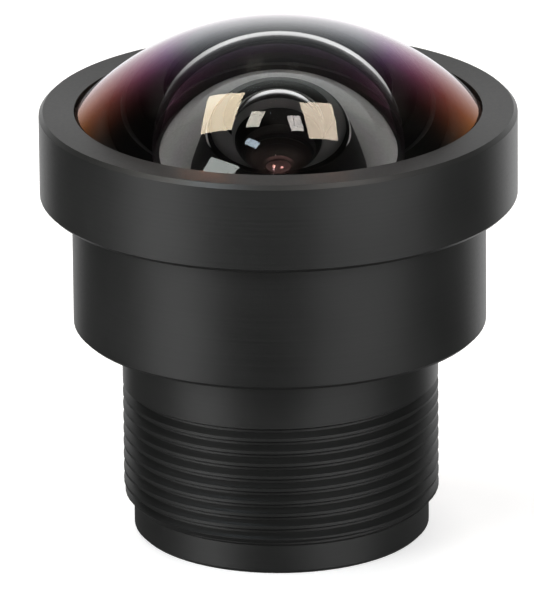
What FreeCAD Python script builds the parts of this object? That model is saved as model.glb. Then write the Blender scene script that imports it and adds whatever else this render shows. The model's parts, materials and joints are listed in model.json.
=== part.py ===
import FreeCAD, Part
import math
import os

# A board camera lens: a wide-angle lens with an M12 x 0.5 mounting thread.
# Sizes are in millimetres. The optical axis is +Z and points at the scene.
# Z = 0 is the rear face, the end nearest the image sensor, on which the lens stands.

# Clearances
running_clearance = 0.04        # between the retaining ring and the barrel, which turn against each other
thread_clearance = 0.05         # radial, between the two front threads
thread_side_clearance = 0.03    # along the axis, on each side of the front thread's ridge
glass_clearance = 0.05          # between the front glass and the ring that screws over it
bore_clearance = 0.03           # between a lens or spacer and the bore it is dropped into
stack_clearance = 0.02          # along the axis, between neighbours in the stack
ring_gap = 0.05                 # along the axis, between the retaining ring and the body below it

# Outside of the barrel, from the rear face upwards
rear_nose_length = 1.15
rear_nose_step = 0.38           # how far the nose lies inside the thread's crests
thread_major_radius = 5.98      # M12 nominal radius 6.00, less the usual allowance of an outside thread
thread_pitch = 0.5
thread_depth = 0.27
thread_crest_width = 0.11
thread_turns = 10.5
neck_length = 1.5
body_radius = 7.8
body_length = 5.0
edge_bevel = 0.15

# Bores of the barrel, from the front; each depth is counted from the bore before it
front_bore_radius = 6.25
front_bore_depth = 1.5
seal_pocket_width = 0.5
seal_pocket_depth = 0.5
second_bore_step = 0.65
second_bore_depth = 1.8
third_bore_radius = 3.7
third_bore_depth = 2.7
shoulder_hole_radius = 2.6
shoulder_thickness = 0.6
rear_bore_radius = 4.25
rear_thread_radius = 4.35
rear_thread_length = 1.25
filter_recess_radius = 4.7
filter_recess_depth = 0.85

# Front element: a deep meniscus with a domed front and a bowl behind
dome_radius = 10.5
dome_height = 4.77              # from the barrel's front edge to the top of the glass
front_seat_width = 1.1          # the part of the flange that lies on the barrel's front edge
front_step_height = 1.0
front_centre_thickness = 0.82
bowl_land_width = 0.93          # the flat ring round the bowl

# Front end of the barrel, where the retaining ring screws on
front_thread_depth = 0.25
front_thread_crest_width = 0.14
front_thread_length = 1.05
land_height = 0.6
relief_depth = 0.27
relief_height = 0.2

# Front retaining ring
ring_skirt_wall = 0.9
ring_lip_width = 0.17           # how far the lip reaches over the edge of the glass
ring_lip_thickness = 0.13
ring_seal_groove_depth = 0.4
ring_seal_groove_width = 0.4
ring_seal_groove_offset = 0.1   # from the lower end of the ring

# Second element: a thin meniscus that reaches up into the bowl
front_air_gap = 2.35
bowl_side_gap = 0.34            # between the edge of the crown and the rim of the bowl
second_dome_radius = 6.5
second_flange_thickness = 1.3
second_centre_thickness = 1.15
second_bowl_radius = 2.3        # of the half ball that closes the bowl
second_bowl_mouth_radius = 2.6  # the bowl flares to this at the rear face

# Rear elements: the radius of each curved surface and the thickness on the axis
third_curve_radius = 7.0
third_thickness = 2.68
fourth_curve_radius = 8.0
fourth_thickness = 1.86
fourth_air_gap = 0.3
doublet_front_thickness = 0.4
doublet_inner_radius = 5.5
doublet_rear_thickness = 3.0
doublet_rear_radius = 12.0

# Spacers, foils and stop
foil_thickness = 0.05
spacer_cone_depth = 0.7
spacer_cone_width = 0.9
spacer_wall = 0.7
stop_thickness = 0.1
stop_hole_radius = 0.85
bowl_mask_margin = 0.1          # how much wider than the bowl the hole of its foil is
second_mask_margin = 0.1        # how much wider than the second bowl's mouth the hole of its foil is

# Rear retaining ring and filter
rear_ring_height = 1.1
rear_ring_hole_radius = 3.2
rear_ring_flare = 0.5
spanner_slot_width = 0.8
spanner_slot_depth = 0.45
filter_radius = 4.65
filter_thickness = 0.3

# O-rings: the radius of their round cord
front_seal_cord = 0.23
ring_seal_cord = 0.17


def sag(curve_radius, radius):
    """How far a spherical surface has dropped from its crown at a given radius."""
    return curve_radius - math.sqrt(curve_radius ** 2 - radius ** 2)


# Radii that follow the bores and the thread
rear_nose_radius = thread_major_radius - rear_nose_step
core_radius = rear_nose_radius - edge_bevel
seal_pocket_radius = front_bore_radius + seal_pocket_width
second_bore_radius = front_bore_radius - second_bore_step
front_flange_radius = seal_pocket_radius + front_seat_width
land_radius = front_flange_radius + glass_clearance + front_thread_depth - thread_clearance

# Heights on the axis, worked out from the lengths above
thread_top = rear_nose_length + (thread_turns + 0.5) * thread_pitch
shoulder_z = thread_top + neck_length
body_top = shoulder_z + body_length
land_top = body_top + land_height
relief_top = land_top + relief_height
barrel_top = relief_top + front_thread_length
seal_pocket_bottom = barrel_top - seal_pocket_depth
front_bore_bottom = seal_pocket_bottom - front_bore_depth
second_bore_bottom = front_bore_bottom - second_bore_depth
third_bore_bottom = second_bore_bottom - third_bore_depth
rear_bore_top = third_bore_bottom - shoulder_thickness
rear_thread_top = filter_recess_depth + rear_thread_length

# Curves and seats of the two front elements
front_dome_top = barrel_top + dome_height
dome_centre_z = front_dome_top - dome_radius
front_flange_bottom = barrel_top + stack_clearance
front_element_rear_z = front_flange_bottom - front_step_height
bowl_top = front_dome_top - front_centre_thickness
bowl_depth = bowl_top - front_element_rear_z
bowl_rim_radius = front_bore_radius - bore_clearance - bowl_land_width
bowl_radius = (bowl_rim_radius ** 2 + bowl_depth ** 2) / (2 * bowl_depth)
bowl_centre_z = bowl_top - bowl_radius
second_element_bottom = second_bore_bottom + foil_thickness + 2 * stack_clearance
second_flange_top = second_element_bottom + second_flange_thickness
second_dome_top = bowl_top - front_air_gap
second_dome_edge_radius = bowl_rim_radius - bowl_side_gap
second_bowl_centre_z = second_dome_top - second_centre_thickness - second_bowl_radius

# Crowns of the rear elements, from the stop outwards
third_rear_crown = third_bore_bottom + stack_clearance - sag(third_curve_radius, shoulder_hole_radius)
third_front_crown = third_rear_crown + third_thickness
stop_top = rear_bore_top - stack_clearance
fourth_front_z = stop_top - stop_thickness - stack_clearance
fourth_rear_crown = fourth_front_z - fourth_thickness
doublet_front_z = fourth_rear_crown - fourth_air_gap
doublet_inner_crown = doublet_front_z - doublet_front_thickness
doublet_rear_crown = doublet_inner_crown - doublet_rear_thickness
rear_ring_top = rear_thread_top - stack_clearance
rear_foil_bottom = rear_ring_top + stack_clearance

# Retaining ring: it follows the land it turns on and the glass it holds down
ring_outer_radius = land_radius + ring_skirt_wall
ring_opening_radius = front_flange_radius - ring_lip_width
ring_bottom = body_top + ring_gap
ring_thread_bottom = (land_top + relief_top) / 2
ring_seal_groove_bottom = ring_bottom + ring_seal_groove_offset
ring_seal_groove_top = ring_seal_groove_bottom + ring_seal_groove_width
ring_seal_groove_radius = land_radius + ring_seal_groove_depth
glass_side_radius = dome_radius + bore_clearance
ring_lip_underside = dome_centre_z + math.sqrt(glass_side_radius ** 2 - ring_opening_radius ** 2)
ring_top = ring_lip_underside + ring_lip_thickness

axis = FreeCAD.Vector(0, 0, 1)
origin = FreeCAD.Vector(0, 0, 0)


def turned(corners, angle=360):
    """A solid turned round the optical axis from corners given as (radius, height)."""
    points = [FreeCAD.Vector(radius, 0, z) for radius, z in corners]
    points.append(points[0])
    outline = Part.Face(Part.makePolygon(points))
    return outline.revolve(origin, axis, angle)


def disc(radius, bottom, top):
    """A plain cylinder on the axis."""
    return Part.makeCylinder(radius, top - bottom, FreeCAD.Vector(0, 0, bottom))


def tube(inner_radius, outer_radius, bottom, top):
    """A cylinder on the axis with a round hole through it."""
    return disc(outer_radius, bottom, top).cut(disc(inner_radius, bottom, top))


def ball(radius, centre_z):
    """A sphere on the axis, whose surface shapes a lens."""
    return Part.makeSphere(radius, FreeCAD.Vector(0, 0, centre_z))


def o_ring(circle_radius, cord_radius, z):
    """A ring of round cord lying flat."""
    return Part.makeTorus(circle_radius, cord_radius, FreeCAD.Vector(0, 0, z))


def spiral_cutter(section, bottom, height):
    """A tool that cuts one right-hand thread groove, from a section of (radius, offset along the axis)."""
    taper = 0
    corners = [FreeCAD.Vector(radius, 0, bottom + offset) for radius, offset in section]
    corners.append(corners[0])
    path = Part.makeLongHelix(thread_pitch, height, section[0][0], taper)
    path.translate(FreeCAD.Vector(0, 0, bottom))
    return Part.Wire(path).makePipeShell([Part.makePolygon(corners)], True, True)


def outside_thread_section(major_radius, depth, crest_width):
    """The groove between two ridges of an outside thread, reaching a little outside the crests."""
    slope = math.tan(math.radians(30))
    overshoot = depth / 2
    half_mouth = (thread_pitch - crest_width) / 2
    half_outside = half_mouth + overshoot * slope
    half_floor = half_mouth - depth * slope
    return [
        (major_radius + overshoot, -half_outside),
        (major_radius + overshoot, half_outside),
        (major_radius - depth, half_floor),
        (major_radius - depth, -half_floor),
    ]


def inside_thread_section():
    """The groove of the retaining ring: the barrel's ridge, grown by the clearances."""
    slope = math.tan(math.radians(30))
    floor_radius = land_radius + thread_clearance
    mouth_radius = land_radius - front_thread_depth
    half_floor = front_thread_crest_width / 2 + thread_side_clearance
    half_mouth = half_floor + front_thread_depth * slope
    return [
        (mouth_radius, -half_mouth),
        (mouth_radius, half_mouth),
        (floor_radius, half_floor),
        (floor_radius, -half_floor),
    ]


def mounting_thread_blank():
    """The sleeve that the mounting thread is cut from.

    It is put together from eight sectors, so that the crest of each turn stays a row of short cylinder
    faces and its diameter can be measured anywhere along the thread.
    """
    sectors = 8
    corners = [
        (core_radius, rear_nose_length),
        (rear_nose_radius, rear_nose_length),
        (thread_major_radius, rear_nose_length + rear_nose_step),
        (thread_major_radius, thread_top),
        (core_radius, thread_top),
    ]
    sector = turned(corners, 360 / sectors)
    blank = sector
    for step in range(1, sectors):
        turned_sector = sector.copy()
        turned_sector.rotate(origin, axis, step * 360 / sectors)
        blank = blank.fuse(turned_sector)
    return blank


def lens_barrel():
    relief_radius = land_radius - relief_depth
    barrel = turned([
        (filter_recess_radius, 0),
        (rear_nose_radius - edge_bevel, 0),
        (rear_nose_radius, edge_bevel),
        (rear_nose_radius, rear_nose_length),
        (core_radius, rear_nose_length),
        (core_radius, thread_top),
        (thread_major_radius, thread_top),
        (thread_major_radius, shoulder_z),
        (body_radius - edge_bevel, shoulder_z),
        (body_radius, shoulder_z + edge_bevel),
        (body_radius, body_top),
        (land_radius, body_top),
        (land_radius, land_top),
        (relief_radius, land_top),
        (relief_radius, relief_top),
        (land_radius, relief_top),
        (land_radius, barrel_top - edge_bevel),
        (land_radius - edge_bevel, barrel_top),
        (seal_pocket_radius, barrel_top),
        (seal_pocket_radius, seal_pocket_bottom),
        (front_bore_radius, seal_pocket_bottom),
        (front_bore_radius, front_bore_bottom),
        (second_bore_radius, front_bore_bottom),
        (second_bore_radius, second_bore_bottom),
        (third_bore_radius, second_bore_bottom),
        (third_bore_radius, third_bore_bottom),
        (shoulder_hole_radius, third_bore_bottom),
        (shoulder_hole_radius, rear_bore_top),
        (rear_bore_radius, rear_bore_top),
        (rear_bore_radius, rear_thread_top),
        (rear_thread_radius, rear_thread_top),
        (rear_thread_radius, filter_recess_depth),
        (filter_recess_radius, filter_recess_depth),
    ])
    barrel = barrel.fuse(mounting_thread_blank())

    mounting_section = outside_thread_section(thread_major_radius, thread_depth, thread_crest_width)
    mounting_start = rear_nose_length - thread_pitch / 2
    barrel = barrel.cut(spiral_cutter(mounting_section, mounting_start, thread_turns * thread_pitch))

    front_section = outside_thread_section(land_radius, front_thread_depth, front_thread_crest_width)
    front_start = relief_top - thread_pitch / 4
    front_length = barrel_top + thread_pitch - front_start
    return barrel.cut(spiral_cutter(front_section, front_start, front_length))


def front_retaining_ring():
    loose_radius = land_radius + running_clearance
    thread_inner_radius = land_radius - front_thread_depth + thread_clearance
    bore_meets_dome = dome_centre_z + math.sqrt(glass_side_radius ** 2 - thread_inner_radius ** 2)
    ring = turned([
        (loose_radius, ring_bottom),
        (ring_outer_radius - edge_bevel, ring_bottom),
        (ring_outer_radius, ring_bottom + edge_bevel),
        (ring_outer_radius, ring_top - edge_bevel),
        (ring_outer_radius - edge_bevel, ring_top),
        (ring_opening_radius, ring_top),
        (ring_opening_radius, ring_lip_underside),
        (thread_inner_radius, bore_meets_dome),
        (thread_inner_radius, ring_thread_bottom),
        (loose_radius, ring_thread_bottom),
        (loose_radius, ring_seal_groove_top),
        (ring_seal_groove_radius, ring_seal_groove_top),
        (ring_seal_groove_radius, ring_seal_groove_bottom),
        (loose_radius, ring_seal_groove_bottom),
    ])
    # The ring's groove follows the barrel's ridge, half a pitch from the barrel's own groove.
    front_start = relief_top - thread_pitch / 4 - thread_pitch / 2
    front_length = barrel_top + thread_pitch - front_start
    return ring.cut(spiral_cutter(inside_thread_section(), front_start, front_length))


def front_ring_seal():
    circle_radius = (land_radius + ring_seal_groove_radius) / 2
    return o_ring(circle_radius, ring_seal_cord, (ring_seal_groove_bottom + ring_seal_groove_top) / 2)


def front_element():
    flange = disc(front_flange_radius, front_flange_bottom, front_dome_top)
    step = disc(front_bore_radius - bore_clearance, front_element_rear_z, front_flange_bottom)
    blank = flange.fuse(step)
    return blank.common(ball(dome_radius, dome_centre_z)).cut(ball(bowl_radius, bowl_centre_z))


def front_element_seal():
    step_radius = front_bore_radius - bore_clearance
    circle_radius = (step_radius + seal_pocket_radius) / 2
    return o_ring(circle_radius, front_seal_cord, (seal_pocket_bottom + front_flange_bottom) / 2)


def front_element_foil():
    top = front_element_rear_z - stack_clearance
    hole_radius = bowl_rim_radius + bowl_mask_margin
    return tube(hole_radius, front_bore_radius - bore_clearance, top - foil_thickness, top)


def front_spacer():
    top = front_element_rear_z - foil_thickness - 2 * stack_clearance
    bottom = second_flange_top + stack_clearance
    seat = front_bore_bottom + stack_clearance
    foot_radius = second_dome_edge_radius + bore_clearance
    return turned([
        (foot_radius, bottom),
        (second_bore_radius - bore_clearance, bottom),
        (second_bore_radius - bore_clearance, seat),
        (front_bore_radius - bore_clearance, seat),
        (front_bore_radius - bore_clearance, top),
        (foot_radius + spacer_cone_width, top),
        (foot_radius, top - spacer_cone_depth),
    ])


def second_element():
    flange = disc(second_bore_radius - bore_clearance, second_element_bottom, second_flange_top)
    crown = disc(second_dome_edge_radius, second_flange_top, second_dome_top)
    blank = flange.fuse(crown)
    shaped = blank.common(ball(second_dome_radius, second_dome_top - second_dome_radius))
    bowl_height = second_bowl_centre_z - second_element_bottom
    bowl_start = FreeCAD.Vector(0, 0, second_element_bottom)
    flare = Part.makeCone(second_bowl_mouth_radius, second_bowl_radius, bowl_height, bowl_start)
    return shaped.cut(flare).cut(ball(second_bowl_radius, second_bowl_centre_z))


def second_element_foil():
    bottom = second_bore_bottom + stack_clearance
    outer_radius = second_bore_radius - bore_clearance
    hole_radius = second_bowl_mouth_radius + second_mask_margin
    return tube(hole_radius, outer_radius, bottom, bottom + foil_thickness)


def middle_spacer():
    """Its lower end is ground to the front curve of the third element."""
    outer_radius = third_bore_radius - bore_clearance
    sleeve = tube(outer_radius - spacer_wall, outer_radius, third_rear_crown, second_bore_bottom)
    front_centre = third_front_crown - third_curve_radius
    return sleeve.cut(ball(third_curve_radius + stack_clearance, front_centre))


def third_element():
    front_centre = third_front_crown - third_curve_radius
    rear_centre = third_rear_crown + third_curve_radius
    edge = disc(third_bore_radius - bore_clearance, third_rear_crown, third_front_crown)
    front_shaped = edge.common(ball(third_curve_radius, front_centre))
    return front_shaped.common(ball(third_curve_radius, rear_centre))


def aperture_stop():
    return tube(stop_hole_radius, rear_bore_radius - bore_clearance, stop_top - stop_thickness, stop_top)


def fourth_element():
    edge = disc(rear_bore_radius - bore_clearance, fourth_rear_crown, fourth_front_z)
    return edge.common(ball(fourth_curve_radius, fourth_rear_crown + fourth_curve_radius))


def rear_group_spacer():
    """Its upper end is ground to the rear curve of the fourth element."""
    outer_radius = rear_bore_radius - bore_clearance
    bottom = doublet_front_z + stack_clearance
    sleeve = tube(outer_radius - spacer_wall, outer_radius, bottom, fourth_front_z)
    return sleeve.cut(ball(fourth_curve_radius + stack_clearance, fourth_rear_crown + fourth_curve_radius))


def doublet_front_element():
    """The half of the cemented pair that is hollowed by the curve between them."""
    edge_radius = rear_bore_radius - bore_clearance
    edge_bottom = doublet_inner_crown - sag(doublet_inner_radius, edge_radius)
    edge = disc(edge_radius, edge_bottom, doublet_front_z)
    return edge.cut(ball(doublet_inner_radius, doublet_inner_crown - doublet_inner_radius))


def doublet_rear_element():
    edge = disc(rear_bore_radius - bore_clearance, doublet_rear_crown, doublet_inner_crown)
    inner_centre = doublet_inner_crown - doublet_inner_radius
    rear_centre = doublet_rear_crown + doublet_rear_radius
    front_shaped = edge.common(ball(doublet_inner_radius, inner_centre))
    return front_shaped.common(ball(doublet_rear_radius, rear_centre))


def rear_spacer():
    """Its upper end is ground to the rear curve of the doublet."""
    outer_radius = rear_bore_radius - bore_clearance
    bottom = rear_foil_bottom + foil_thickness + stack_clearance
    top = doublet_rear_crown + sag(doublet_rear_radius, outer_radius)
    sleeve = tube(outer_radius - spacer_wall, outer_radius, bottom, top)
    return sleeve.cut(ball(doublet_rear_radius + stack_clearance, doublet_rear_crown + doublet_rear_radius))


def rear_foil():
    outer_radius = rear_bore_radius - bore_clearance
    return tube(rear_ring_hole_radius, outer_radius, rear_foil_bottom, rear_foil_bottom + foil_thickness)


def rear_retaining_ring():
    outer_radius = rear_thread_radius - bore_clearance
    bottom = rear_ring_top - rear_ring_height
    ring = turned([
        (rear_ring_hole_radius + rear_ring_flare, bottom),
        (outer_radius, bottom),
        (outer_radius, rear_ring_top),
        (rear_ring_hole_radius, rear_ring_top),
    ])
    corner = FreeCAD.Vector(-outer_radius, -spanner_slot_width / 2, bottom)
    slot = Part.makeBox(2 * outer_radius, spanner_slot_width, spanner_slot_depth, corner)
    return ring.cut(slot)


def infrared_filter():
    top = filter_recess_depth - stack_clearance
    return disc(filter_radius, top - filter_thickness, top)


pieces = {
    "lens_barrel": lens_barrel,
    "front_retaining_ring": front_retaining_ring,
    "front_ring_seal": front_ring_seal,
    "front_element": front_element,
    "front_element_seal": front_element_seal,
    "front_element_foil": front_element_foil,
    "front_spacer": front_spacer,
    "second_element": second_element,
    "second_element_foil": second_element_foil,
    "middle_spacer": middle_spacer,
    "third_element": third_element,
    "aperture_stop": aperture_stop,
    "fourth_element": fourth_element,
    "rear_group_spacer": rear_group_spacer,
    "doublet_front_element": doublet_front_element,
    "doublet_rear_element": doublet_rear_element,
    "rear_spacer": rear_spacer,
    "rear_foil": rear_foil,
    "rear_retaining_ring": rear_retaining_ring,
    "infrared_filter": infrared_filter,
}

os.makedirs("parts", exist_ok=True)
for name, make_piece in pieces.items():
    shape = make_piece()
    shape.exportStep("parts/" + name + ".step")
    print(name, len(shape.Solids), "solid,", round(shape.Volume, 3), "cubic mm, valid:", shape.isValid())
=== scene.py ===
# %% [markdown]
# # A board camera lens, lit and finished
# The lens screws into the small holder on a camera's circuit board. A domed front glass sits in a stepped
# black barrel, a broad ring holds it down, and a fine thread runs down to the rear end.
#
# The metal parts arrive finished in shape, so they only get their materials here. The glass pieces are made
# anew, because light bends through them: they need very smooth curves and a different finish on each face.

# %% Load the frame
import json
import math

import bpy
from mathutils import Matrix, Quaternion, Vector


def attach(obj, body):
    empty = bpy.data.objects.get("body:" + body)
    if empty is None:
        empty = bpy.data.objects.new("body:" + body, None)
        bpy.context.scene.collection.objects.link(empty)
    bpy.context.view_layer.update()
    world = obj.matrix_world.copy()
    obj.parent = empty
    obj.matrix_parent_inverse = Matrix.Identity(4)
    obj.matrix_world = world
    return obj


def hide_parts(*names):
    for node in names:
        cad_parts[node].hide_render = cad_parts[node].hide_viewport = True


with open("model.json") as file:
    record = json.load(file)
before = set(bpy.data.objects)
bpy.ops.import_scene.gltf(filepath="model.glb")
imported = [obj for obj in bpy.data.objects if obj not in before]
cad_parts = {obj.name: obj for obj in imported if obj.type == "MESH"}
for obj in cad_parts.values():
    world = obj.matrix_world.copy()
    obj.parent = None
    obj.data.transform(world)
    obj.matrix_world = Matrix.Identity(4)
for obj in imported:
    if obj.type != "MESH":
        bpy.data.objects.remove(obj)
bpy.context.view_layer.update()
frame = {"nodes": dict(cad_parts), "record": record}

# %% [markdown]
# ## The camera
# The photograph is taken with a long lens from about 20 degrees above the table. A long lens far away keeps
# the ring's far edge nearly as wide as its near edge. The camera could be tracked to an empty, but its
# direction is one plain vector here, and that keeps the tiny roll of the photograph easy to add.

# %% The camera
MM = 0.001
PICTURE_WIDTH = 534
PICTURE_HEIGHT = 591
FOCAL_PIXELS = 10579
CAMERA_DISTANCE = 400 * MM
CAMERA_ELEVATION = 0.347
CAMERA_ROLL = -0.009
AIM = Vector((0, 0, 8 * MM))
AIM_PIXEL = (280.06, 323.7)
SENSOR_WIDTH = 36

view_direction = Vector((0, math.cos(CAMERA_ELEVATION), -math.sin(CAMERA_ELEVATION)))
camera_data = bpy.data.cameras.new("camera")
camera_data.sensor_fit = "HORIZONTAL"
camera_data.sensor_width = SENSOR_WIDTH
camera_data.lens = FOCAL_PIXELS * SENSOR_WIDTH / PICTURE_WIDTH
camera_data.shift_x = (PICTURE_WIDTH / 2 - AIM_PIXEL[0]) / PICTURE_WIDTH
camera_data.shift_y = (AIM_PIXEL[1] - PICTURE_HEIGHT / 2) / PICTURE_WIDTH
camera_data.clip_start = 10 * MM
camera_data.clip_end = 100
camera = bpy.data.objects.new("camera", camera_data)
bpy.context.scene.collection.objects.link(camera)
camera.location = AIM - view_direction * CAMERA_DISTANCE
camera.rotation_mode = "QUATERNION"
camera.rotation_quaternion = view_direction.to_track_quat("-Z", "Y") @ Quaternion((0, 0, 1), CAMERA_ROLL)
bpy.context.scene.camera = camera
bpy.context.scene.view_settings.view_transform = "Standard"
print("camera at", [round(value, 4) for value in camera.location])

# %% [markdown]
# ## Small helpers for node materials
# Every material below is a small graph of nodes. Two short helpers keep the graphs readable: one adds a node
# and sets its values, the other joins two sockets. The patterns read Object coordinates in millimetres, so a
# scratch spacing is written at its real size.

# %% Node helpers
BLACK = (0.0, 0.0, 0.0, 1.0)
WHITE = (1.0, 1.0, 1.0, 1.0)


def add_node(tree, kind, inputs=None, **settings):
    """Adds one node, sets its options, then its input sockets by name or number."""
    node = tree.nodes.new(kind)
    for name, value in settings.items():
        setattr(node, name, value)
    for key, value in (inputs or {}).items():
        node.inputs[key].default_value = value
    return node


def join(tree, source, target):
    tree.links.new(source, target)


def calculate(tree, operation, first, second):
    """A Math node. Each value is a socket or a plain number."""
    node = add_node(tree, "ShaderNodeMath", operation=operation)
    for place, value in enumerate((first, second)):
        if isinstance(value, (int, float)):
            node.inputs[place].default_value = value
        else:
            join(tree, value, node.inputs[place])
    return node.outputs["Value"]


def ramp(tree, factor, stops, smooth=False):
    """A colour ramp. stops is a list of (position, colour)."""
    node = add_node(tree, "ShaderNodeValToRGB")
    node.color_ramp.interpolation = "EASE" if smooth else "LINEAR"
    elements = node.color_ramp.elements
    while len(elements) < len(stops):
        elements.new(1.0)
    for element, (position, colour) in zip(elements, stops):
        element.position = position
        element.color = colour
    join(tree, factor, node.inputs["Fac"])
    return node.outputs["Color"]


def grey(value):
    return (value, value, value, 1.0)


def new_material(name):
    """An empty node material with its output, returned as (material, tree, output)."""
    material = bpy.data.materials.new(name)
    material.use_nodes = True
    material.node_tree.nodes.clear()
    output = add_node(material.node_tree, "ShaderNodeOutputMaterial")
    return material, material.node_tree, output


# %% [markdown]
# ## The floor and the surroundings
# The lens stands on a white table in front of a white backdrop. A mirror-like dome shows whatever stands
# around it, so the surroundings matter as much as the lamps: a white backdrop behind the lens that fades
# upwards into a dim ceiling, and a dim room at the sides and in front. The photograph's background was cut
# out, so this is read from the glass and the metal. The Light Path node tells a ray from the camera from a
# ray that fills the shadows. An image of a studio would do as well, but it couldn't be tuned so simply.

# %% The surroundings
BACKDROP_TOP = 0.10
DARK_START = 0.62
CEILING_LIGHT = 0.08
FILL_LIGHT = 0.33
BACKDROP_SIDE = (0.13, 0.992, 0.0)
BACKDROP_FULL = 0.86
ROOM_START = 0.50
ROOM_LIGHT = 0.10


def backdrop_share(tree, direction):
    """How light the surroundings are in this direction from the lens: the dim room, or the white backdrop.
    ROOM_START and BACKDROP_FULL are cosines of the angle from the backdrop's middle."""
    flat = add_node(tree, "ShaderNodeVectorMath", operation="MULTIPLY")
    flat.inputs[1].default_value = (1.0, 1.0, 0.0)
    join(tree, direction, flat.inputs[0])
    level = add_node(tree, "ShaderNodeVectorMath", operation="NORMALIZE")
    join(tree, flat.outputs["Vector"], level.inputs[0])
    facing = add_node(tree, "ShaderNodeVectorMath", operation="DOT_PRODUCT")
    facing.inputs[1].default_value = BACKDROP_SIDE
    join(tree, level.outputs["Vector"], facing.inputs[0])
    return ramp(tree, facing.outputs["Value"], [(ROOM_START, grey(ROOM_LIGHT)), (BACKDROP_FULL, WHITE)])


world = bpy.data.worlds.new("studio")
world.use_nodes = True
bpy.context.scene.world = world
sky = world.node_tree
sky.nodes.clear()
direction = add_node(sky, "ShaderNodeTexCoord")
split = add_node(sky, "ShaderNodeSeparateXYZ")
join(sky, direction.outputs["Generated"], split.inputs["Vector"])
backdrop = ramp(
    sky,
    split.outputs["Z"],
    [(0.0, WHITE), (BACKDROP_TOP, WHITE), (DARK_START, grey(CEILING_LIGHT)), (1.0, grey(CEILING_LIGHT))],
    smooth=True,
)
path = add_node(sky, "ShaderNodeLightPath")
mirrored = calculate(sky, "MAXIMUM", path.outputs["Is Glossy Ray"], path.outputs["Is Transmission Ray"])
unscattered = calculate(sky, "LESS_THAN", path.outputs["Diffuse Depth"], 0.5)
mirrored = calculate(sky, "MULTIPLY", mirrored, unscattered)
behind = add_node(sky, "ShaderNodeMix", data_type="RGBA", blend_type="MULTIPLY", inputs={0: 1.0})
join(sky, backdrop, behind.inputs[6])
join(sky, backdrop_share(sky, direction.outputs["Generated"]), behind.inputs[7])
scattered = add_node(sky, "ShaderNodeMix", data_type="RGBA", inputs={6: grey(FILL_LIGHT), 7: WHITE})
join(sky, path.outputs["Is Transmission Ray"], scattered.inputs[0])
seen = add_node(sky, "ShaderNodeMix", data_type="RGBA")
join(sky, mirrored, seen.inputs[0])
join(sky, scattered.outputs[2], seen.inputs[6])
join(sky, behind.outputs[2], seen.inputs[7])
to_camera = add_node(sky, "ShaderNodeMix", data_type="RGBA", inputs={7: WHITE})
join(sky, path.outputs["Is Camera Ray"], to_camera.inputs[0])
join(sky, seen.outputs[2], to_camera.inputs[6])
background = add_node(sky, "ShaderNodeBackground", inputs={"Strength": 1.0})
join(sky, to_camera.outputs[2], background.inputs["Color"])
world_output = add_node(sky, "ShaderNodeOutputWorld")
join(sky, background.outputs["Background"], world_output.inputs["Surface"])
print("surroundings: backdrop white, ceiling", CEILING_LIGHT, "room", ROOM_LIGHT)

# %% [markdown]
# The floor is pale matte paper, one big plane. Its paper colour alone would render a little grey, so it also
# glows a little for the camera, and more so far away, where the lamps don't reach. The soft shadow of the
# lens still shows on it, and a faint grain keeps it from looking like a blank. Right under the lens the paper
# colour is painted black, a painted shadow where the paper gets no light, or the lens would shine from
# inside.
# What the black metal mirrors is a separate, simpler floor: white in front of the backdrop and dim elsewhere.

# %% The floor
FLOOR_SIZE = 6.0
FLOOR_COLOUR = 0.62
FLOOR_GLOW = 0.55
FAR_GLOW = 0.95
LAMPS_REACH = 0.05
FAR_START = 0.25
COVERED_RADIUS = 5.4 * MM
PAPER_GRAIN = 0.02
GRAIN_LOW = 0.3
GRAIN_HIGH = 0.7

bpy.ops.object.select_all(action="DESELECT")
bpy.ops.mesh.primitive_plane_add(size=FLOOR_SIZE, location=(0, 0, 0))
floor = bpy.context.object
floor.name = "floor"
material, tree, output = new_material("paper_floor")
place = add_node(tree, "ShaderNodeTexCoord")
grain = add_node(tree, "ShaderNodeTexNoise", inputs={"Scale": 900.0, "Detail": 3.0})
join(tree, place.outputs["Object"], grain.inputs["Vector"])
paper = add_node(tree, "ShaderNodeBsdfPrincipled", inputs={"Roughness": 0.9, "Specular IOR Level": 0.1})
paper_stops = [(GRAIN_LOW, grey(FLOOR_COLOUR - PAPER_GRAIN)), (GRAIN_HIGH, grey(FLOOR_COLOUR))]
paper_tone = ramp(tree, grain.outputs["Fac"], paper_stops)
reach = add_node(tree, "ShaderNodeVectorMath", operation="LENGTH")
join(tree, place.outputs["Object"], reach.inputs[0])
# Painted shadow: inside COVERED_RADIUS the paper's colour is painted black and its glows are switched off.
uncovered = calculate(tree, "GREATER_THAN", reach.outputs["Value"], COVERED_RADIUS)
paper_with_painted_shadow = add_node(tree, "ShaderNodeMix", data_type="RGBA", inputs={6: BLACK})
join(tree, uncovered, paper_with_painted_shadow.inputs[0])
join(tree, paper_tone, paper_with_painted_shadow.inputs[7])
join(tree, paper_with_painted_shadow.outputs[2], paper.inputs["Base Color"])
glow = add_node(tree, "ShaderNodeEmission", inputs={"Color": WHITE})
path = add_node(tree, "ShaderNodeLightPath")
seen = calculate(tree, "MAXIMUM", path.outputs["Is Camera Ray"], path.outputs["Is Transmission Ray"])
seen = calculate(tree, "MULTIPLY", seen, uncovered)
distance = calculate(tree, "DIVIDE", reach.outputs["Value"], FLOOR_SIZE / 2)
strength = ramp(tree, distance, [(LAMPS_REACH, grey(FLOOR_GLOW)), (FAR_START, grey(FAR_GLOW))])
join(tree, calculate(tree, "MULTIPLY", seen, strength), glow.inputs["Strength"])
both = add_node(tree, "ShaderNodeAddShader")
join(tree, paper.outputs["BSDF"], both.inputs[0])
join(tree, glow.outputs["Emission"], both.inputs[1])
mirrored_floor = add_node(tree, "ShaderNodeEmission")
join(tree, uncovered, mirrored_floor.inputs["Strength"])
join(tree, backdrop_share(tree, place.outputs["Object"]), mirrored_floor.inputs["Color"])
either = add_node(tree, "ShaderNodeMixShader")
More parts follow.
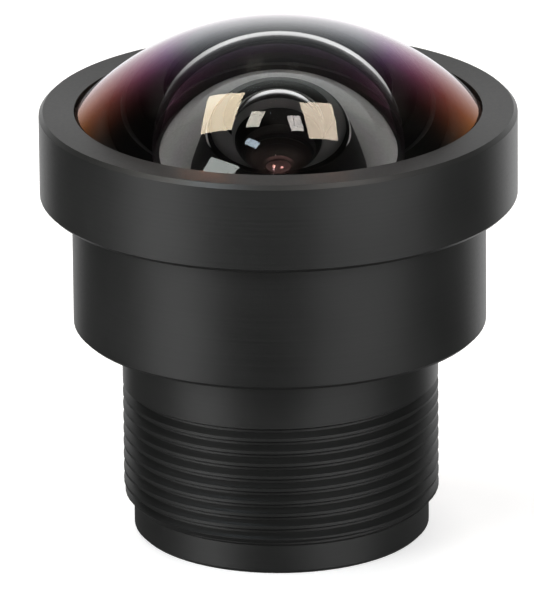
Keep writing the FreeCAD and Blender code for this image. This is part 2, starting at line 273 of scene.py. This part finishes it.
join(tree, path.outputs["Is Glossy Ray"], either.inputs["Fac"])
join(tree, both.outputs["Shader"], either.inputs[1])
join(tree, mirrored_floor.outputs["Emission"], either.inputs[2])
join(tree, either.outputs["Shader"], output.inputs["Surface"])
floor.data.materials.append(material)
print("floor", FLOOR_SIZE, "m wide")

# %% [markdown]
# ## The lamps
# Two softboxes hang above the lens, a little behind it, one to each side. The dome mirrors them as the two
# cream rectangles of the photograph. A third, cooler one gives the small pale patch low on the left. Two
# broad screens near the table, in front of the lens, draw the soft upright bands on the black barrel. A sun
# lamp would be simpler, but it has no size, and every one of these shapes is the picture of a lamp with a
# size.

# %% The lamps
LAMP_TARGET = Vector((0, 0, 13 * MM))
LAMP_DISTANCE = 350 * MM


def softbox(name, toward, lean, width, height, watts, colour):
    """A rectangular lamp in the direction toward, facing the lens, its width level but for lean degrees."""
    data = bpy.data.lights.new(name, "AREA")
    data.shape = "RECTANGLE"
    data.size = width
    data.size_y = height
    data.energy = watts
    data.color = colour
    lamp = bpy.data.objects.new(name, data)
    bpy.context.scene.collection.objects.link(lamp)
    away = Vector(toward).normalized()
    level = Vector((1, 0, 0)) - away * away.x
    level.normalize()
    turned = Quaternion(away, math.radians(lean)) @ level
    lamp.location = LAMP_TARGET + away * LAMP_DISTANCE
    lamp.rotation_euler = Matrix((turned, away.cross(turned), away)).transposed().to_euler()
    return lamp


softbox(
    "left_softbox", toward=(-0.304, 0.220, 0.927), lean=-18,
    width=0.066, height=0.120, watts=0.42, colour=(1.0, 0.94, 0.82)
)
softbox(
    "right_softbox", toward=(0.234, 0.105, 0.967), lean=13,
    width=0.062, height=0.115, watts=0.33, colour=(1.0, 0.93, 0.88)
)
softbox(
    "cool_softbox", toward=(-0.36, -0.25, 0.90), lean=-37,
    width=0.075, height=0.040, watts=0.11, colour=(0.72, 0.86, 1.0)
)
left_screen = softbox(
    "left_screen", toward=(-0.85, -0.53, 0.28), lean=0,
    width=0.24, height=0.26, watts=1.30, colour=(1.0, 1.0, 1.0)
)
right_screen = softbox(
    "right_screen", toward=(0.71, -0.70, 0.28), lean=0,
    width=0.34, height=0.26, watts=1.15, colour=(1.0, 1.0, 1.0)
)

# %% [markdown]
# ## Turned and anodised metal
# The barrel, the rings and the spacers are turned on a lathe and anodised black. Three things show on such
# metal: very fine marks that run round the axis, a light satin grain from the bath, and highlights that are
# smeared across the marks. An image could hold the marks, but noise on the distance from the axis and the
# height is sharper and costs nothing. The smear is the anisotropic setting, turned a quarter to lie across
# the marks: it draws the barrel's highlights out into upright bands.
#
# The barrel's round faces are made of flat facets, and such a highlight shows every place where two of them
# meet badly. A turned surface always looks straight out from its axis, straight in, or up and down, so the
# material takes the sideways part out of the facets' normals. A finer mesh would do it too, but the frame's
# own shapes are kept as they are.

# %% Turned marks
def axis_place(tree):
    """Three sockets: the point's distance from the lens's axis and its height, both in millimetres, and the
    point itself."""
    place = add_node(tree, "ShaderNodeTexCoord")
    parts = add_node(tree, "ShaderNodeSeparateXYZ")
    join(tree, place.outputs["Object"], parts.inputs["Vector"])
    across = add_node(tree, "ShaderNodeCombineXYZ")
    join(tree, parts.outputs["X"], across.inputs["X"])
    join(tree, parts.outputs["Y"], across.inputs["Y"])
    length = add_node(tree, "ShaderNodeVectorMath", operation="LENGTH")
    join(tree, across.outputs["Vector"], length.inputs[0])
    radius = calculate(tree, "DIVIDE", length.outputs["Value"], MM)
    height = calculate(tree, "DIVIDE", parts.outputs["Z"], MM)
    return radius, height, place.outputs["Object"]


def turned_marks(tree, radius, height, spacing, drift):
    """Noise that changes only with radius and height, so that each mark runs right round the part."""
    spot = add_node(tree, "ShaderNodeCombineXYZ", inputs={"Z": drift})
    join(tree, radius, spot.inputs["X"])
    join(tree, height, spot.inputs["Y"])
    noise = add_node(tree, "ShaderNodeTexNoise", inputs={"Scale": 1 / spacing, "Detail": 4.0})
    join(tree, spot.outputs["Vector"], noise.inputs["Vector"])
    return noise.outputs["Fac"]


SIDEWAYS_LIMIT = 0.2
STRETCH = 0.5
ACROSS_THE_MARKS = 0.25
TONE_LOW = 0.35
TONE_HIGH = 0.65
METAL_UNEVENNESS = 0.10
GRAIN_RELIEF = 0.4


def turned_normal(tree):
    """The way the surface faces, without the small sideways part that it has where the facets meet.
    A face that really looks sideways, such as the wall of a slot, keeps its own."""
    place = add_node(tree, "ShaderNodeTexCoord")
    flat = add_node(tree, "ShaderNodeVectorMath", operation="MULTIPLY")
    flat.inputs[1].default_value = (1.0, 1.0, 0.0)
    join(tree, place.outputs["Object"], flat.inputs[0])
    outward = add_node(tree, "ShaderNodeVectorMath", operation="NORMALIZE")
    join(tree, flat.outputs["Vector"], outward.inputs[0])
    sideways = add_node(tree, "ShaderNodeVectorMath", operation="CROSS_PRODUCT")
    sideways.inputs[0].default_value = (0.0, 0.0, 1.0)
    join(tree, outward.outputs["Vector"], sideways.inputs[1])
    lean = add_node(tree, "ShaderNodeVectorMath", operation="DOT_PRODUCT")
    join(tree, place.outputs["Normal"], lean.inputs[0])
    join(tree, sideways.outputs["Vector"], lean.inputs[1])
    lean = lean.outputs["Value"]
    small = calculate(tree, "LESS_THAN", calculate(tree, "MULTIPLY", lean, lean), SIDEWAYS_LIMIT ** 2)
    error = add_node(tree, "ShaderNodeVectorMath", operation="SCALE")
    join(tree, sideways.outputs["Vector"], error.inputs[0])
    join(tree, calculate(tree, "MULTIPLY", lean, small), error.inputs["Scale"])
    mended = add_node(tree, "ShaderNodeVectorMath", operation="SUBTRACT")
    join(tree, place.outputs["Normal"], mended.inputs[0])
    join(tree, error.outputs["Vector"], mended.inputs[1])
    to_world = add_node(
        tree, "ShaderNodeVectorTransform", vector_type="NORMAL", convert_from="OBJECT", convert_to="WORLD"
    )
    join(tree, mended.outputs["Vector"], to_world.inputs["Vector"])
    return to_world.outputs["Vector"]


def turned_metal(name, dark, light, roughness, mark_spacing, mark_depth, specular=0.5):
    """Black anodised metal: dark and light are the greys that it drifts between."""
    material, tree, output = new_material(name)
    radius, height, spot = axis_place(tree)
    marks = turned_marks(tree, radius, height, mark_spacing, 0.0)
    grain = add_node(tree, "ShaderNodeTexNoise", inputs={"Scale": 9000.0, "Detail": 2.0})
    join(tree, spot, grain.inputs["Vector"])
    cloud = add_node(tree, "ShaderNodeTexNoise", inputs={"Scale": 260.0, "Detail": 2.0})
    join(tree, spot, cloud.inputs["Vector"])
    half_marks = calculate(tree, "MULTIPLY", marks, 0.5)
    half_cloud = calculate(tree, "MULTIPLY", cloud.outputs["Fac"], 0.5)
    tone = calculate(tree, "ADD", half_marks, half_cloud)
    metal = add_node(tree, "ShaderNodeBsdfPrincipled", inputs={
        "Specular IOR Level": specular, "Anisotropic": STRETCH, "Anisotropic Rotation": ACROSS_THE_MARKS
    })
    along = add_node(tree, "ShaderNodeTangent", direction_type="RADIAL", axis="Z")
    join(tree, along.outputs["Tangent"], metal.inputs["Tangent"])
    join(tree, ramp(tree, tone, [(TONE_LOW, dark), (TONE_HIGH, light)]), metal.inputs["Base Color"])
    uneven = calculate(tree, "MULTIPLY", grain.outputs["Fac"], METAL_UNEVENNESS)
    rough = calculate(tree, "ADD", uneven, roughness - METAL_UNEVENNESS / 2)
    join(tree, rough, metal.inputs["Roughness"])
    relief = calculate(tree, "ADD", marks, calculate(tree, "MULTIPLY", grain.outputs["Fac"], GRAIN_RELIEF))
    bump = add_node(tree, "ShaderNodeBump", inputs={"Strength": 1.0, "Distance": mark_depth * MM})
    join(tree, turned_normal(tree), bump.inputs["Normal"])
    join(tree, relief, bump.inputs["Height"])
    join(tree, bump.outputs["Normal"], metal.inputs["Normal"])
    join(tree, metal.outputs["BSDF"], output.inputs["Surface"])
    return material


BARREL_DARK = (0.004, 0.0043, 0.004, 1)
BARREL_LIGHT = (0.010, 0.0104, 0.010, 1)
RING_DARK = (0.005, 0.0053, 0.005, 1)
RING_LIGHT = (0.011, 0.0114, 0.011, 1)
STOP_DARK = (0.030, 0.016, 0.013, 1)
STOP_LIGHT = (0.045, 0.024, 0.020, 1)
MARK_SPACING = 0.10
MARK_DEPTH = 0.0012

finishes = {}
finishes["barrel_metal"] = turned_metal(
    "anodised_barrel", BARREL_DARK, BARREL_LIGHT,
    roughness=0.42, mark_spacing=MARK_SPACING, mark_depth=MARK_DEPTH, specular=0.60
)
finishes["ring_metal"] = turned_metal(
    "anodised_ring", RING_DARK, RING_LIGHT,
    roughness=0.38, mark_spacing=MARK_SPACING, mark_depth=MARK_DEPTH, specular=0.68
)
finishes["spacer_metal"] = turned_metal(
    "turned_spacer", grey(0.03), grey(0.06), roughness=0.50, mark_spacing=0.06, mark_depth=0.002
)
finishes["stop_metal"] = turned_metal(
    "blackened_stop", STOP_DARK, STOP_LIGHT, roughness=0.60, mark_spacing=0.20, mark_depth=0.001
)
print("metals:", sorted(finishes))

# %% [markdown]
# ## Rubber and foil
# The two seals are moulded rubber, and the masks are thin foil coated with a very black, dusty paint. Both
# are hidden in the stack, but they show in a cutaway, so they get their own grain as well.

# %% Rubber and foil
MATT_UNEVENNESS = 0.2


def grained_black(name, dark, light, roughness, grain_size, grain_depth):
    """A matt black surface with an even grain, its size and depth in millimetres."""
    material, tree, output = new_material(name)
    place = add_node(tree, "ShaderNodeTexCoord")
    grain = add_node(tree, "ShaderNodeTexNoise", inputs={"Scale": 1 / (grain_size * MM), "Detail": 3.0})
    join(tree, place.outputs["Object"], grain.inputs["Vector"])
    surface = add_node(tree, "ShaderNodeBsdfPrincipled", inputs={"Specular IOR Level": 0.3})
    tone = ramp(tree, grain.outputs["Fac"], [(TONE_LOW, dark), (TONE_HIGH, light)])
    join(tree, tone, surface.inputs["Base Color"])
    uneven = calculate(tree, "MULTIPLY", grain.outputs["Fac"], MATT_UNEVENNESS)
    rough = calculate(tree, "ADD", uneven, roughness - MATT_UNEVENNESS / 2)
    join(tree, rough, surface.inputs["Roughness"])
    bump = add_node(tree, "ShaderNodeBump", inputs={"Strength": 0.6, "Distance": grain_depth * MM})
    join(tree, grain.outputs["Fac"], bump.inputs["Height"])
    join(tree, bump.outputs["Normal"], surface.inputs["Normal"])
    join(tree, surface.outputs["BSDF"], output.inputs["Surface"])
    return material


finishes["seal_rubber"] = grained_black(
    "seal_rubber", grey(0.012), grey(0.022), roughness=0.75, grain_size=0.08, grain_depth=0.004
)
finishes["mask_foil"] = grained_black(
    "mask_foil", grey(0.003), grey(0.006), roughness=0.70, grain_size=0.05, grain_depth=0.002
)
black_ink = grained_black(
    "lens_edge_ink", grey(0.003), grey(0.006), roughness=0.60, grain_size=0.06, grain_depth=0.0002
)

# %% [markdown]
# The second glass keeps some of its ground faces bare. Ground glass is a maze of tiny facets: part of the
# light bounces back and part of it wanders through, so it looks like grey frost. A principled shader with
# rough transmission does both at once. Its grey is painted light and shade, a ramp over the distance from the
# axis: the land is painted pale at its outside and darker towards the bowl, where hardly any light gets to
# it.

# %% Ground glass
GROUND_CLEARNESS = 0.20
GROUND_SPECKLE = 0.85
GROUND_WIDEST = 5.6
# Painted light and shade: the ground glass's grey by distance from the axis, pale outside, dark towards the
# bowl.
GROUND_PAINTED_SHADING = [(2.6, 0.24), (3.1, 0.42), (3.9, 0.92), (4.1, 0.60), (5.6, 0.55)]


def ground_glass(name):
    """Frosted glass. Its grey, painted light and shade, is listed at each distance from the axis in
    millimetres.
    """
    material, tree, output = new_material(name)
    radius, _, spot = axis_place(tree)
    grain = add_node(tree, "ShaderNodeTexNoise", inputs={"Scale": 16000.0, "Detail": 3.0})
    join(tree, spot, grain.inputs["Vector"])
    stops = [(distance / GROUND_WIDEST, grey(tone)) for distance, tone in GROUND_PAINTED_SHADING]
    # The painted light and shade is a ramp over the distance from the axis.
    tone = ramp(tree, calculate(tree, "DIVIDE", radius, GROUND_WIDEST), stops)
    speckle = ramp(tree, grain.outputs["Fac"], [(GRAIN_LOW, grey(GROUND_SPECKLE)), (GRAIN_HIGH, WHITE)])
    speckled = add_node(tree, "ShaderNodeMix", data_type="RGBA", blend_type="MULTIPLY", inputs={0: 1.0})
    join(tree, tone, speckled.inputs[6])
    join(tree, speckle, speckled.inputs[7])
    frost = add_node(tree, "ShaderNodeBsdfPrincipled", inputs={
        "Roughness": 0.8, "Transmission Weight": GROUND_CLEARNESS, "IOR": 1.5
    })
    join(tree, speckled.outputs[2], frost.inputs["Base Color"])
    bump = add_node(tree, "ShaderNodeBump", inputs={"Strength": 0.5, "Distance": 0.002 * MM})
    join(tree, grain.outputs["Fac"], bump.inputs["Height"])
    join(tree, bump.outputs["Normal"], frost.inputs["Normal"])
    join(tree, frost.outputs["BSDF"], output.inputs["Surface"])
    return material


bare_ground = ground_glass("bare_ground_glass")

# %% [markdown]
# ## Coated glass
# A camera lens carries a thin coating that takes away most of the white glare and leaves a faint colour. On
# the steep flank of the dome the coating comes out thinner, so its colour slides from grey over violet and
# magenta to orange at the rim. Thin film in the shader would give a rainbow of its own choosing, so the
# colour is a ramp over the distance from the axis instead, and the Fresnel node says how strongly it shows.
#
# Light that is already in the glass meets the surface from behind. A coating takes away the weak mirror image
# there and keeps the total one, which draws the bright thin arc over the bowl. Raising the Fresnel share to a
# power does the same: a share of one stays one, and a small one all but goes.

# %% Coated glass
INNER_FADE = 2.0
MOTTLE = 0.2
TILT_START = 0.36
TILT_END = 0.48
GLANCE_START = 0.60
GLANCE_END = 0.90


def coated_glass(name, refraction, steep, level, coating, widest, strength):
    """steep is the mirror's colour at a glancing look and level the one from straight on.
    coating is the list of (radius in mm, colour) for looks in between, widest the last radius of its ramp."""
    material, tree, output = new_material(name)
    radius, _, spot = axis_place(tree)
    stops = [(distance / widest, colour) for distance, colour in coating]
    flank = ramp(tree, calculate(tree, "DIVIDE", radius, widest), stops)
    look = add_node(tree, "ShaderNodeLayerWeight", inputs={"Blend": 0.5})
    glance = ramp(tree, look.outputs["Facing"], [(GLANCE_START, BLACK), (GLANCE_END, WHITE)])
    tilted = ramp(tree, look.outputs["Facing"], [(TILT_START, BLACK), (TILT_END, WHITE)])
    toward_steep = add_node(tree, "ShaderNodeMix", data_type="RGBA", inputs={7: steep})
    join(tree, glance, toward_steep.inputs[0])
    join(tree, flank, toward_steep.inputs[6])
    tint = add_node(tree, "ShaderNodeMix", data_type="RGBA", inputs={6: level})
    join(tree, tilted, tint.inputs[0])
    join(tree, toward_steep.outputs[2], tint.inputs[7])
    mottle = add_node(tree, "ShaderNodeTexNoise", inputs={"Scale": 300.0, "Detail": 2.0})
    join(tree, spot, mottle.inputs["Vector"])
    cloudy = calculate(tree, "MULTIPLY", mottle.outputs["Fac"], MOTTLE)
    uneven = calculate(tree, "ADD", cloudy, strength - MOTTLE / 2)
    fresnel = add_node(tree, "ShaderNodeFresnel", inputs={"IOR": refraction})
    from_outside = calculate(tree, "MULTIPLY", fresnel.outputs["Fac"], uneven)
    from_inside = calculate(tree, "POWER", fresnel.outputs["Fac"], INNER_FADE)
    side = add_node(tree, "ShaderNodeNewGeometry")
    share = add_node(tree, "ShaderNodeMix", data_type="FLOAT")
    join(tree, side.outputs["Backfacing"], share.inputs[0])
    join(tree, from_outside, share.inputs[2])
    join(tree, from_inside, share.inputs[3])
    colour = add_node(tree, "ShaderNodeMix", data_type="RGBA", inputs={7: WHITE})
    join(tree, side.outputs["Backfacing"], colour.inputs[0])
    join(tree, tint.outputs[2], colour.inputs[6])
    through = add_node(
        tree, "ShaderNodeBsdfRefraction", inputs={"Color": WHITE, "Roughness": 0.0, "IOR": refraction}
    )
    mirror = add_node(tree, "ShaderNodeBsdfGlossy", inputs={"Roughness": 0.01})
    join(tree, colour.outputs[2], mirror.inputs["Color"])
    both = add_node(tree, "ShaderNodeMixShader")
    join(tree, share.outputs[0], both.inputs["Fac"])
    join(tree, through.outputs["BSDF"], both.inputs[1])
    join(tree, mirror.outputs["BSDF"], both.inputs[2])
    join(tree, both.outputs["Shader"], output.inputs["Surface"])
    return material


CROWN_GLASS = 1.52
DENSE_GLASS = 1.60
FLINT_GLASS = 1.70
CREAM = (0.475, 0.425, 0.35, 1)
DOME_COATING = [
    (0.0, (0.95, 1.00, 1.00, 1)),
    (3.2, (0.88, 0.92, 1.00, 1)),
    (4.2, (0.78, 0.43, 0.83, 1)),
    (5.2, (0.86, 0.29, 0.52, 1)),
    (6.4, (0.86, 0.24, 0.20, 1)),
    (7.2, (0.90, 0.28, 0.12, 1)),
    (7.7, (0.95, 0.36, 0.10, 1)),
]
INNER_COATING = [(0.0, (0.75, 0.80, 0.78, 1)), (5.6, (0.60, 0.70, 0.66, 1))]
MAROON = (0.95, 0.50, 0.46, 1)
REAR_COATING = [(0.0, MAROON), (4.3, (0.80, 0.42, 0.50, 1))]
FILTER_COATING = [(0.0, (0.90, 0.35, 0.30, 1)), (4.7, (0.95, 0.45, 0.35, 1))]
FILTER_MIRROR = (0.95, 0.40, 0.32, 1)
DOME_GLANCE = (0.95, 0.92, 0.95, 1)
finishes["front_glass"] = coated_glass(
    "coated_front_glass", CROWN_GLASS, DOME_GLANCE, CREAM, DOME_COATING, widest=7.85, strength=1.6
)
finishes["second_glass"] = coated_glass(
    "coated_second_glass", DENSE_GLASS, WHITE, WHITE, INNER_COATING, widest=5.6, strength=0.8
)
finishes["inner_glass"] = coated_glass(
    "coated_rear_glass", FLINT_GLASS, WHITE, MAROON, REAR_COATING, widest=4.35, strength=1.8
)
finishes["filter_glass"] = coated_glass(
    "infrared_filter_glass", CROWN_GLASS, WHITE, FILTER_MIRROR, FILTER_COATING, widest=4.7, strength=2.0
)
print("finishes:", len(finishes))

# %% Give the frame its finishes
for subpart in frame["record"]["subparts"]:
    node = frame["nodes"][subpart["node"]]
    for slot in node.material_slots:
        slot.material = finishes[subpart["material_slot"]]

# %% [markdown]
# ## Grinding the glass
# A lens is ground round one axis, so its outline is drawn once and swung round. The drawing is made the way a
# lathe hand would do it: a plane is collapsed to one point, the point is spun about a curve's centre to draw
# a true arc, extruded along the straight edges, and the whole line is spun round the axis in the end. A UV
# sphere cut in half would also give a dome, but its rows wouldn't meet the rim's edge, and the light shows
# it.

# %% The lens lathe
ARC_STEPS = 48
ROUND_STEPS = 160
MERGE_DISTANCE = 0.0005 * MM
EDGE_ANGLE = math.radians(20)
FACE_TOLERANCE = 0.02 * MM
UPRIGHT = 0.5


def start_outline(name, height):
    """One point on the axis at this height, in edit mode. A plane is added and merged to its centre."""
    bpy.ops.object.select_all(action="DESELECT")
    bpy.ops.mesh.primitive_plane_add(size=MM)
    piece = bpy.context.object
    piece.name = name
    bpy.ops.object.mode_set(mode="EDIT")
    bpy.ops.mesh.select_all(action="SELECT")
    bpy.ops.mesh.merge(type="CENTER")
    bpy.ops.transform.translate(value=(0, 0, height))
    return piece


def draw_arc(centre_height, angle):
    """Swings the outline's last point about a centre on the axis. A positive angle goes outwards over the
    top."""
    bpy.ops.mesh.spin(steps=ARC_STEPS, angle=-angle, center=(0, 0, centre_height), axis=(0, 1, 0))


def draw_line(outwards, upwards):
    """Extrudes the outline's last point by this much."""
    bpy.ops.mesh.extrude_region_move(TRANSFORM_OT_translate={"value": (outwards, 0, upwards)})


def swing_round(piece):
    """Spins the outline about the lens's axis, closes the seam and the poles, and turns the faces out."""
    bpy.ops.mesh.select_all(action="SELECT")
    bpy.ops.mesh.spin(steps=ROUND_STEPS, angle=2 * math.pi, center=(0, 0, 0), axis=(0, 0, 1))
    bpy.ops.mesh.select_all(action="SELECT")
    bpy.ops.mesh.remove_doubles(threshold=MERGE_DISTANCE)
    bpy.ops.mesh.normals_make_consistent(inside=False)
    bpy.ops.object.mode_set(mode="OBJECT")
    bpy.ops.object.shade_smooth_by_angle(angle=EDGE_ANGLE)
    return piece


def place_of_face(face, centre_height):
    """How far a face's middle is from a point on the axis."""
    return (face.center - Vector((0, 0, centre_height))).length


def give_faces(piece, finish, chosen):
    """Adds a finish to a piece and gives it to every face that the chosen() test is true for."""
    piece.data.materials.append(finish)
    bpy.ops.object.mode_set(mode="EDIT")
    bpy.ops.mesh.select_all(action="DESELECT")
    bpy.ops.object.mode_set(mode="OBJECT")
    for face in piece.data.polygons:
        face.select = chosen(face)
    count = sum(face.select for face in piece.data.polygons)
    bpy.ops.object.mode_set(mode="EDIT")
    piece.active_material_index = len(piece.data.materials) - 1
    bpy.ops.object.material_slot_assign()
    bpy.ops.object.mode_set(mode="OBJECT")
    print(piece.name, len(piece.data.polygons), "faces,", count, "of them with", finish.name)


def finish_faces(piece, polished, coating, edge):
    """Polished faces lie on one of the given spheres and get the coating, all others the edge finish."""
    piece.data.materials.append(coating)
    give_faces(piece, edge, lambda face: not any(
        abs(place_of_face(face, centre) - radius) < FACE_TOLERANCE for centre, radius in polished
    ))


def stands_for(piece, node):
    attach(piece, "lens")
    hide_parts(node)


# %% [markdown]
# ## The front glass
# This is the big dome that sticks out of the ring. Underneath it a deep bowl is ground out, so the glass is
# as thin as a watch glass in the middle. A flange at its edge carries it, and below the flange a narrower
# step drops into the barrel. Everything but the dome and the bowl is painted with black ink, so that no
# stray light runs through the edge.

# %% The front glass
DOME_CENTRE = 9.27 * MM
DOME_RADIUS = 10.5 * MM
FLANGE_RADIUS = 7.85 * MM
FLANGE_UNDERSIDE = 15.02 * MM
STEP_RADIUS = 6.22 * MM
FRONT_GLASS_REAR = 14.02 * MM
BOWL_CENTRE = 13.647 * MM
BOWL_RADIUS = 5.303 * MM

dome_angle = math.asin(FLANGE_RADIUS / DOME_RADIUS)
dome_edge = DOME_CENTRE + DOME_RADIUS * math.cos(dome_angle)
bowl_angle = math.acos((FRONT_GLASS_REAR - BOWL_CENTRE) / BOWL_RADIUS)
bowl_rim = BOWL_RADIUS * math.sin(bowl_angle)

front_glass = start_outline("front_glass_dome", DOME_CENTRE + DOME_RADIUS)
draw_arc(DOME_CENTRE, dome_angle)
draw_line(0, FLANGE_UNDERSIDE - dome_edge)
draw_line(STEP_RADIUS - FLANGE_RADIUS, 0)
draw_line(0, FRONT_GLASS_REAR - FLANGE_UNDERSIDE)
draw_line(bowl_rim - STEP_RADIUS, 0)
draw_arc(BOWL_CENTRE, -bowl_angle)
swing_round(front_glass)
finish_faces(
    front_glass, [(DOME_CENTRE, DOME_RADIUS), (BOWL_CENTRE, BOWL_RADIUS)], finishes["front_glass"], black_ink
)
stands_for(front_glass, "front_element")

# %% [markdown]
# The two screens are there for the metal. In the dome they would burn out to plain white, and from behind its
# edge would be lost against the backdrop. A photographer puts up a small flag, a black card that keeps a lamp
# off one part of the subject. Light linking is that flag: the dome is put in a collection that both screens
# leave out. Making the screens dimmer would save the dome too, but it would take the bands off the barrel.

# %% The flag
flag = bpy.data.collections.new("kept_from_the_screens")
flag.objects.link(front_glass)
for member in flag.collection_objects:
    member.light_linking.link_state = "EXCLUDE"
for screen in (left_screen, right_screen):
    screen.light_linking.receiver_collection = flag

# %% [markdown]
# ## The second glass
# Inside the bowl sits a smaller dome with a narrow, deep bowl of its own. Its flange rests in the barrel. The
# flat land on its rear is left finely ground, and through the small dome it shows as the pale band of the
# photograph. Its upright edge faces are left ground too. The rest of the unpolished faces is inked, so the
# middle goes dark.

# %% The second glass
SMALL_DOME_CENTRE = 10.10 * MM
SMALL_DOME_RADIUS = 6.5 * MM
SMALL_DOME_EDGE = 4.95 * MM
SMALL_FLANGE_TOP = 12.59 * MM
SMALL_FLANGE_RADIUS = 5.57 * MM
SECOND_GLASS_REAR = 11.29 * MM
SMALL_BOWL_CENTRE = 13.15 * MM
SMALL_BOWL_RADIUS = 2.30 * MM
SMALL_BOWL_MOUTH = 2.60 * MM
SMALL_LAND_RADIUS = 4.00 * MM

small_angle = math.asin(SMALL_DOME_EDGE / SMALL_DOME_RADIUS)
small_edge = SMALL_DOME_CENTRE + SMALL_DOME_RADIUS * math.cos(small_angle)

second_glass = start_outline("second_glass_dome", SMALL_DOME_CENTRE + SMALL_DOME_RADIUS)
draw_arc(SMALL_DOME_CENTRE, small_angle)
draw_line(0, SMALL_FLANGE_TOP - small_edge)
draw_line(SMALL_FLANGE_RADIUS - SMALL_DOME_EDGE, 0)
draw_line(0, SECOND_GLASS_REAR - SMALL_FLANGE_TOP)
draw_line(SMALL_LAND_RADIUS - SMALL_FLANGE_RADIUS, 0)
draw_line(SMALL_BOWL_MOUTH - SMALL_LAND_RADIUS, 0)
draw_line(SMALL_BOWL_RADIUS - SMALL_BOWL_MOUTH, SMALL_BOWL_CENTRE - SECOND_GLASS_REAR)
draw_arc(SMALL_BOWL_CENTRE, -math.pi / 2)
swing_round(second_glass)
finish_faces(
    second_glass,
    [(SMALL_DOME_CENTRE, SMALL_DOME_RADIUS), (SMALL_BOWL_CENTRE, SMALL_BOWL_RADIUS)],
    finishes["second_glass"],
    black_ink,
)


def face_radius(face):
    """How far a face's middle is from the axis."""
    return math.hypot(face.center.x, face.center.y)


give_faces(second_glass, bare_ground, lambda face: (
    face.normal.z < -UPRIGHT and SMALL_BOWL_MOUTH < face_radius(face) < SMALL_LAND_RADIUS
))
give_faces(second_glass, bare_ground, lambda face: (
    abs(face.normal.z) < UPRIGHT and face_radius(face) > SMALL_LAND_RADIUS
))
stands_for(second_glass, "second_element")

# %% [markdown]
# ## The rear glasses
# Behind the second glass come a pair about the stop and a cemented pair. They all have the same build: a
# curved front, a straight edge and a curved rear. So one function grinds any of them from its two crowns and
# its two curves. A flat face is ground too, as part of a ball so big that nobody sees the difference, because
# then the same lines of code serve for it. Each is given its place in the stack by the height of its crowns.

# %% The rear glasses
THIRD_EDGE = 3.67 * MM
THIRD_TOP = 10.70 * MM
THIRD_BOTTOM = 8.02 * MM
THIRD_CURVE = 7.0 * MM
REAR_EDGE = 4.22 * MM
FOURTH_TOP = 7.76 * MM
FOURTH_BOTTOM = 5.90 * MM
FOURTH_CURVE = 8.0 * MM
DOUBLET_TOP = 5.60 * MM
DOUBLET_JOINT = 5.20 * MM
DOUBLET_JOINT_CURVE = 5.5 * MM
DOUBLET_BOTTOM = 2.20 * MM
DOUBLET_REAR_CURVE = 12.0 * MM
FLAT = 1000 * MM
CEMENT = 0.01 * MM


def grind_lens(name, edge_radius, front_crown, front_curve, rear_crown, rear_curve):
    """A curve is positive where its ball's centre lies below the surface, negative where it lies above."""
    edge_heights = []
    swings = []
    for crown, curve in ((front_crown, front_curve), (rear_crown, rear_curve)):
        ball_radius = abs(curve)
        drop = ball_radius - math.sqrt(ball_radius ** 2 - edge_radius ** 2)
        edge_heights.append(crown - math.copysign(drop, curve))
        swings.append(math.copysign(math.asin(edge_radius / ball_radius), curve))
    piece = start_outline(name, front_crown)
    draw_arc(front_crown - front_curve, swings[0])
    draw_line(0, edge_heights[1] - edge_heights[0])
    draw_arc(rear_crown - rear_curve, -swings[1])
    swing_round(piece)
    polished = [(front_crown - front_curve, abs(front_curve)), (rear_crown - rear_curve, abs(rear_curve))]
    finish_faces(piece, polished, finishes["inner_glass"], black_ink)
    return piece


third_glass = grind_lens("third_glass", THIRD_EDGE, THIRD_TOP, THIRD_CURVE, THIRD_BOTTOM, -THIRD_CURVE)
stands_for(third_glass, "third_element")
fourth_glass = grind_lens("fourth_glass", REAR_EDGE, FOURTH_TOP, FLAT, FOURTH_BOTTOM, -FOURTH_CURVE)
stands_for(fourth_glass, "fourth_element")
doublet_front = grind_lens(
    "doublet_front_glass", REAR_EDGE, DOUBLET_TOP, FLAT, DOUBLET_JOINT, DOUBLET_JOINT_CURVE
)
stands_for(doublet_front, "doublet_front_element")
doublet_rear = grind_lens(
    "doublet_rear_glass",
    REAR_EDGE,
    DOUBLET_JOINT - CEMENT,
    DOUBLET_JOINT_CURVE,
    DOUBLET_BOTTOM,
    -DOUBLET_REAR_CURVE,
)
stands_for(doublet_rear, "doublet_rear_element")
